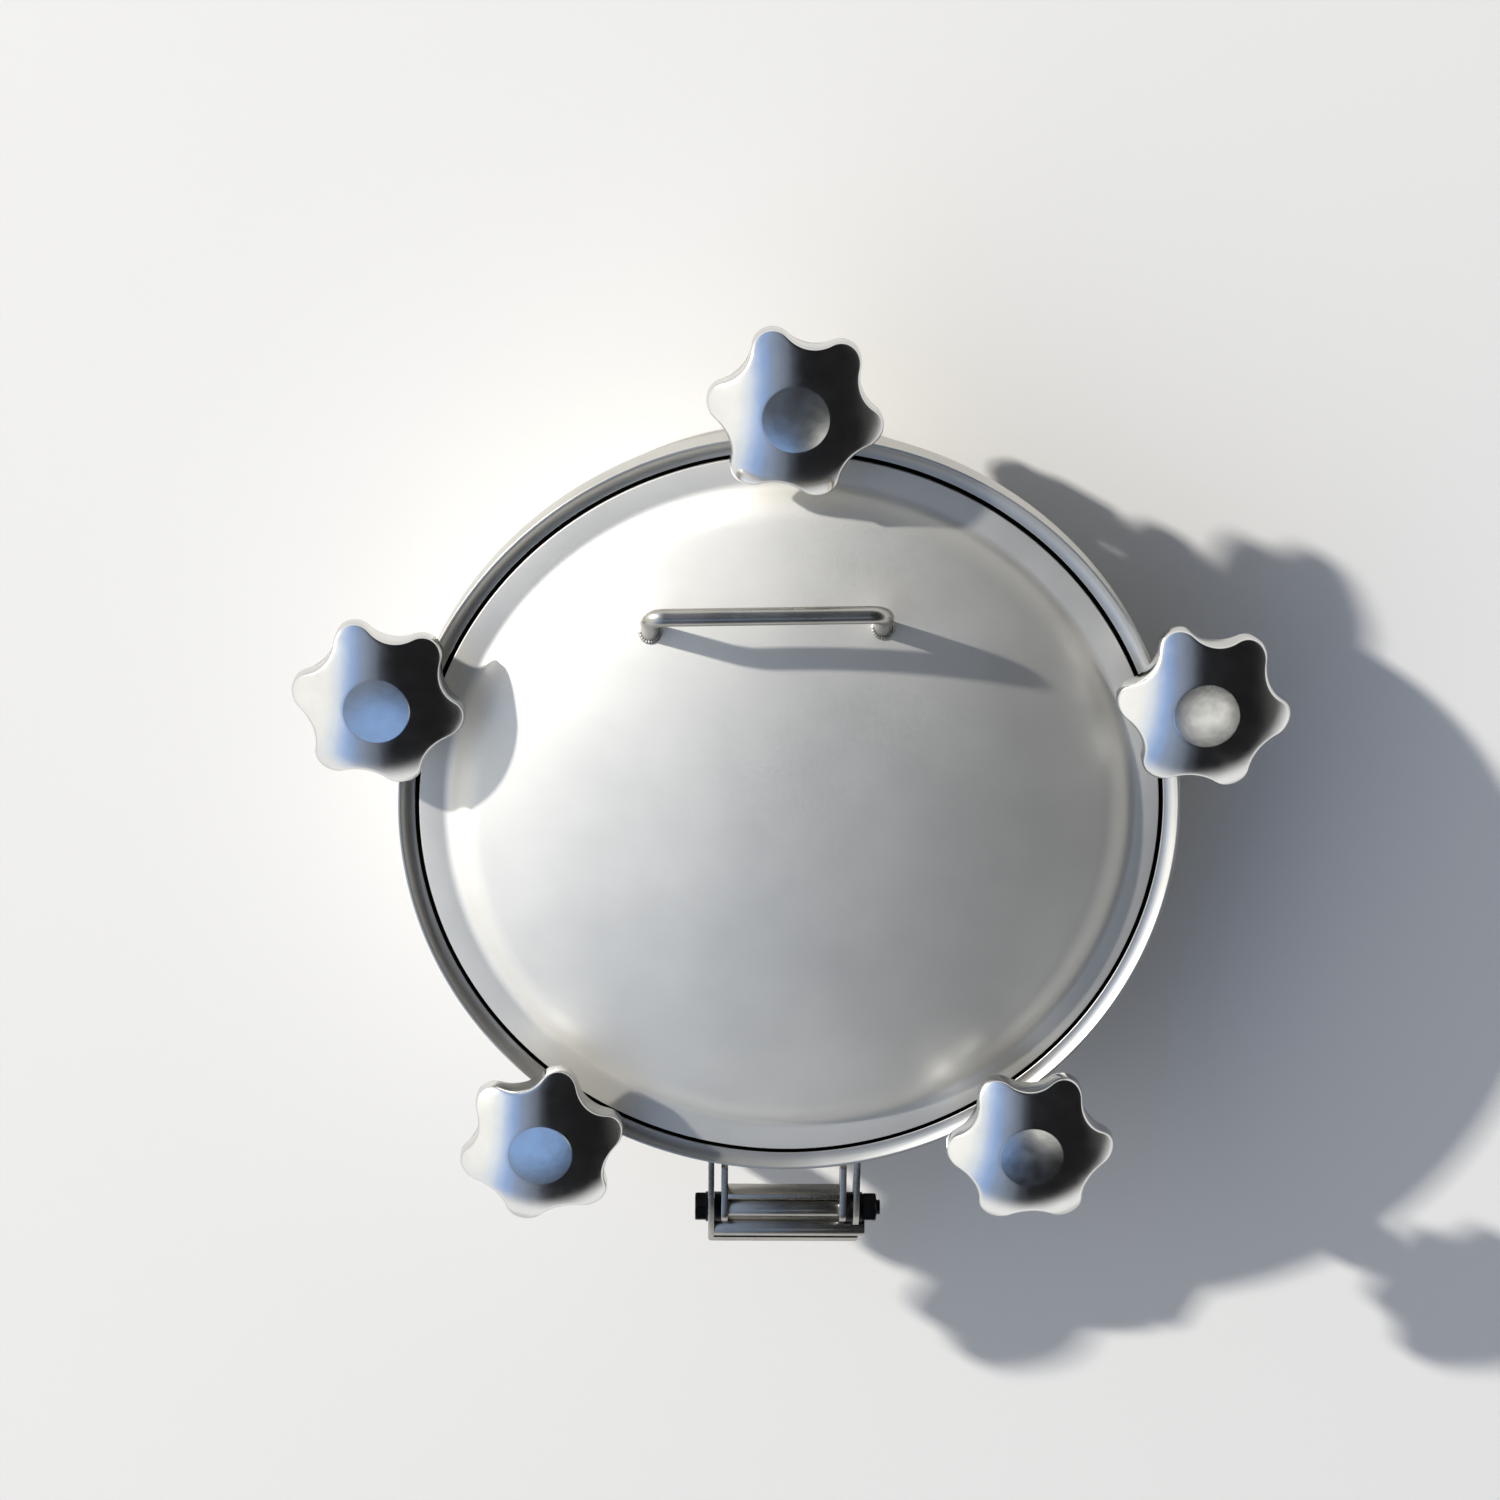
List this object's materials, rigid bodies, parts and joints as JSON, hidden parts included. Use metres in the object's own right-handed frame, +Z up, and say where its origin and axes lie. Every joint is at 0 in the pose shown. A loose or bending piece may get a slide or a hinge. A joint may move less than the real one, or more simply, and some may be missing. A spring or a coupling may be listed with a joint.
{
  "type": "tank manway cover",
  "caption": "Round dished lid on a flanged neck, hinged at one side, with a lifting handle, a seal ring and star-knob clamps whose swivel dogs grip the neck.",
  "frame": {"origin": "centre of the neck's lower (weld) rim, on the bore's axis", "axes": "+Z up the neck towards the lid, -Y towards the hinge, +X along the hinge bolt"},
  "size_m": [0.5622, 0.5782, 0.1758],
  "materials": {
    "satin_stainless": "satin",
    "dish_stainless": "satin, bead blasted",
    "handle_stainless": "satin",
    "hinge_stainless": "satin",
    "dark_fastener": "dark oxide",
    "seal_silicone": "matt",
    "clamp_stainless": "satin",
    "polished_stainless": "mirror polished",
    "turned_stainless": "turned"
  },
  "bodies": {
    "neck": {"neck_tube": "satin_stainless", "neck_flange": "satin_stainless", "bracket_arm_left": "hinge_stainless", "bracket_arm_right": "hinge_stainless", "stop_plate": "hinge_stainless", "hinge_bolt": "dark_fastener", "hinge_nut": "dark_fastener", "hinge_washers": "dark_fastener", "hinge_spacers": "dark_fastener", "hinge_sleeve": "hinge_stainless"},
    "lid": {"lid_dish": "dish_stainless", "lid_ring": "satin_stainless", "gasket": "seal_silicone", "handle": "handle_stainless", "hinge_strap": "hinge_stainless", "stop_tube": "hinge_stainless", "thrust_washers": "turned_stainless", "clamp_ear_1": "clamp_stainless", "clamp_ear_2": "clamp_stainless", "clamp_ear_3": "clamp_stainless", "clamp_ear_4": "clamp_stainless", "clamp_ear_5": "clamp_stainless"},
    "knob_1": {"knob_shell_1": "polished_stainless", "knob_hub_1": "turned_stainless"},
    "screw_1": {"spindle_1": "turned_stainless"},
    "dog_1": {"claw_1": "clamp_stainless", "claw_washer_1": "turned_stainless", "claw_nut_1": "turned_stainless"},
    "knob_2": {"knob_shell_2": "polished_stainless", "knob_hub_2": "turned_stainless"},
    "screw_2": {"spindle_2": "turned_stainless"},
    "dog_2": {"claw_2": "clamp_stainless", "claw_washer_2": "turned_stainless", "claw_nut_2": "turned_stainless"},
    "knob_3": {"knob_shell_3": "polished_stainless", "knob_hub_3": "turned_stainless"},
    "screw_3": {"spindle_3": "turned_stainless"},
    "dog_3": {"claw_3": "clamp_stainless", "claw_washer_3": "turned_stainless", "claw_nut_3": "turned_stainless"},
    "knob_4": {"knob_shell_4": "polished_stainless", "knob_hub_4": "turned_stainless"},
    "screw_4": {"spindle_4": "turned_stainless"},
    "dog_4": {"claw_4": "clamp_stainless", "claw_washer_4": "turned_stainless", "claw_nut_4": "turned_stainless"},
    "knob_5": {"knob_shell_5": "polished_stainless", "knob_hub_5": "turned_stainless"},
    "screw_5": {"spindle_5": "turned_stainless"},
    "dog_5": {"claw_5": "clamp_stainless", "claw_washer_5": "turned_stainless", "claw_nut_5": "turned_stainless"}
  },
  "joints": [
    {"name": "lid_hinge", "type": "hinge", "parent": "neck", "child": "lid", "pos_m": [0, -0.262, 0.0901], "axis": [1, 0, 0], "range_deg": [0, 110]},
    {"name": "knob_1_turn", "type": "hinge", "parent": "lid", "child": "knob_1", "pos_m": [0, 0.244, 0.14], "axis": [0, 0, -1], "range_deg": [0, 360]},
    {"name": "screw_1_lift", "type": "slide", "parent": "lid", "child": "screw_1", "axis": [0, 0, 1], "range_m": [0, 0.004]},
    {"name": "dog_1_swivel", "type": "hinge", "parent": "screw_1", "child": "dog_1", "pos_m": [0, 0.244, 0.08], "axis": [0, 0, 1], "range_deg": [0, 90]},
    {"name": "knob_2_turn", "type": "hinge", "parent": "lid", "child": "knob_2", "pos_m": [-0.23206, 0.0754, 0.14], "axis": [0, 0, -1], "range_deg": [0, 360]},
    {"name": "screw_2_lift", "type": "slide", "parent": "lid", "child": "screw_2", "axis": [0, 0, 1], "range_m": [0, 0.004]},
    {"name": "dog_2_swivel", "type": "hinge", "parent": "screw_2", "child": "dog_2", "pos_m": [-0.23206, 0.0754, 0.08], "axis": [0, 0, 1], "range_deg": [0, 90]},
    {"name": "knob_3_turn", "type": "hinge", "parent": "lid", "child": "knob_3", "pos_m": [-0.14342, -0.1974, 0.14], "axis": [0, 0, -1], "range_deg": [0, 360]},
    {"name": "screw_3_lift", "type": "slide", "parent": "lid", "child": "screw_3", "axis": [0, 0, 1], "range_m": [0, 0.004]},
    {"name": "dog_3_swivel", "type": "hinge", "parent": "screw_3", "child": "dog_3", "pos_m": [-0.14342, -0.1974, 0.08], "axis": [0, 0, 1], "range_deg": [0, 90]},
    {"name": "knob_4_turn", "type": "hinge", "parent": "lid", "child": "knob_4", "pos_m": [0.14342, -0.1974, 0.14], "axis": [0, 0, -1], "range_deg": [0, 360]},
    {"name": "screw_4_lift", "type": "slide", "parent": "lid", "child": "screw_4", "axis": [0, 0, 1], "range_m": [0, 0.004]},
    {"name": "dog_4_swivel", "type": "hinge", "parent": "screw_4", "child": "dog_4", "pos_m": [0.14342, -0.1974, 0.08], "axis": [0, 0, -1], "range_deg": [0, 90]},
    {"name": "knob_5_turn", "type": "hinge", "parent": "lid", "child": "knob_5", "pos_m": [0.23206, 0.0754, 0.14], "axis": [0, 0, -1], "range_deg": [0, 360]},
    {"name": "screw_5_lift", "type": "slide", "parent": "lid", "child": "screw_5", "axis": [0, 0, 1], "range_m": [0, 0.004]},
    {"name": "dog_5_swivel", "type": "hinge", "parent": "screw_5", "child": "dog_5", "pos_m": [0.23206, 0.0754, 0.08], "axis": [0, 0, -1], "range_deg": [0, 90]}
  ],
  "couplings": [
    {"joint": "screw_1_lift", "follows": "knob_1_turn", "m_per_rad": 0.000636},
    {"joint": "screw_2_lift", "follows": "knob_2_turn", "m_per_rad": 0.000636},
    {"joint": "screw_3_lift", "follows": "knob_3_turn", "m_per_rad": 0.000636},
    {"joint": "screw_4_lift", "follows": "knob_4_turn", "m_per_rad": 0.000636},
    {"joint": "screw_5_lift", "follows": "knob_5_turn", "m_per_rad": 0.000636}
  ]
}
